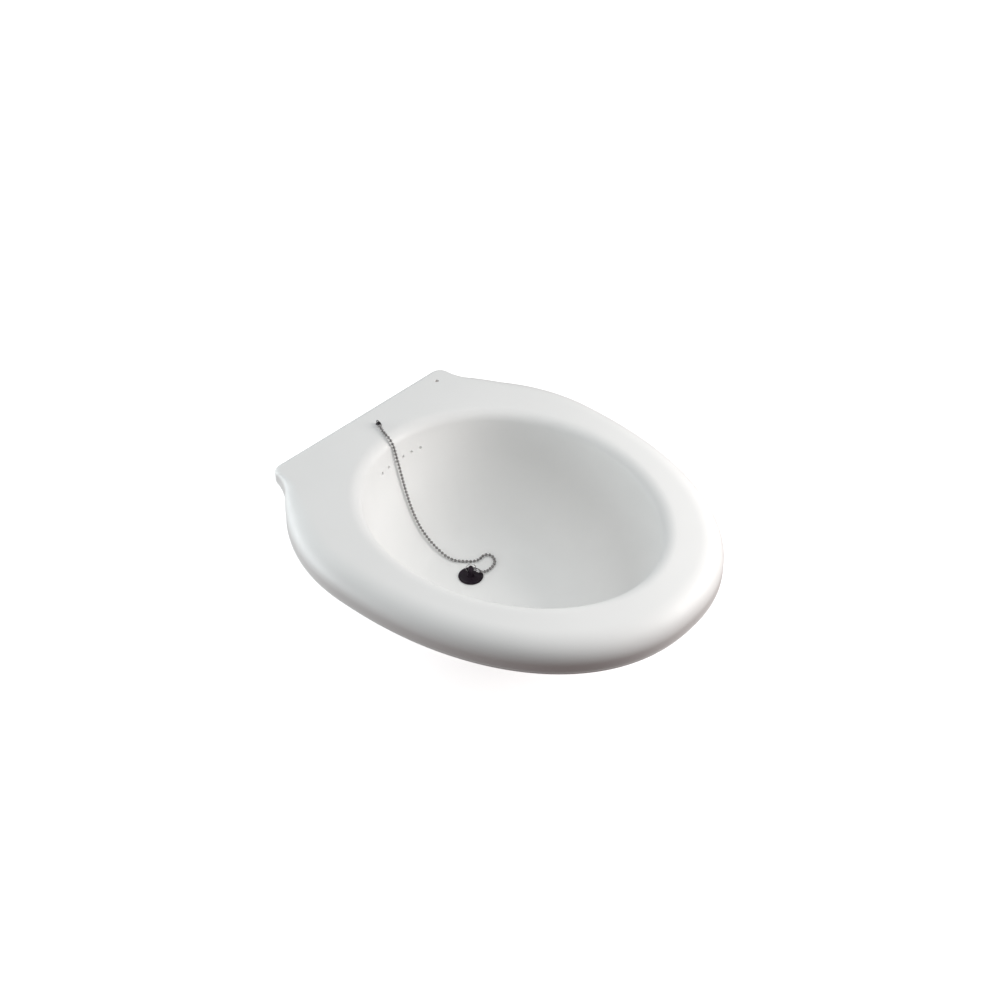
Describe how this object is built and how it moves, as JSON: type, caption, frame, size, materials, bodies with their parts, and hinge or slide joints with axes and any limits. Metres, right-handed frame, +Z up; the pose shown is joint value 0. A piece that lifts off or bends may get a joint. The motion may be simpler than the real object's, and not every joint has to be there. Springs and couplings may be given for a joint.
{
  "type": "portable bidet bowl",
  "caption": "Moulded portable bidet bowl with a wide rolled rim, rear ears, overflow holes, a rubber plug and a ball chain.",
  "frame": {"origin": "on the surface the bowl stands on, under the middle of its overall length and width", "axes": "+Z up, +Y towards the straight back edge, +X towards the ear with the hole"},
  "size_m": [0.382, 0.439, 0.1531],
  "materials": {
    "moulded_plastic": "semi-gloss white moulded plastic",
    "black_rubber": "satin black rubber",
    "chrome_wire": "bright plated wire",
    "chrome_chain": "bright plated balls, slightly tarnished at the joints",
    "chrome_fittings": "bright plated stampings",
    "steel_fixings": "plain plated steel"
  },
  "bodies": {
    "bowl_body": {"bowl": "moulded_plastic", "chain_stay": "chrome_fittings", "stay_washer": "steel_fixings", "stay_nut": "steel_fixings", "ball_chain": "chrome_chain"},
    "plug_body": {"drain_plug": "black_rubber"},
    "ring_body": {"plug_ring": "chrome_wire", "plug_end_coupling": "chrome_fittings"},
    "stay_coupling_body": {"stay_end_coupling": "chrome_fittings"}
  },
  "joints": [
    {"name": "plug_lift", "type": "slide", "parent": "bowl_body", "child": "plug_body", "axis": [0, 0, 1], "range_m": [0, 0.02], "deforming": ["ball_chain"]},
    {"name": "ring_swing", "type": "hinge", "parent": "plug_body", "child": "ring_body", "pos_m": [0, 0.0565, 0.0183], "axis": [0.766, -0.6428, 0], "range_deg": [-60, 60], "deforming": ["ball_chain"]},
    {"name": "stay_coupling_swing", "type": "hinge", "parent": "bowl_body", "child": "stay_coupling_body", "pos_m": [0.0015, 0.1893, 0.1509], "axis": [0, 0, 1], "range_deg": [-45, 45], "deforming": ["ball_chain"]}
  ]
}
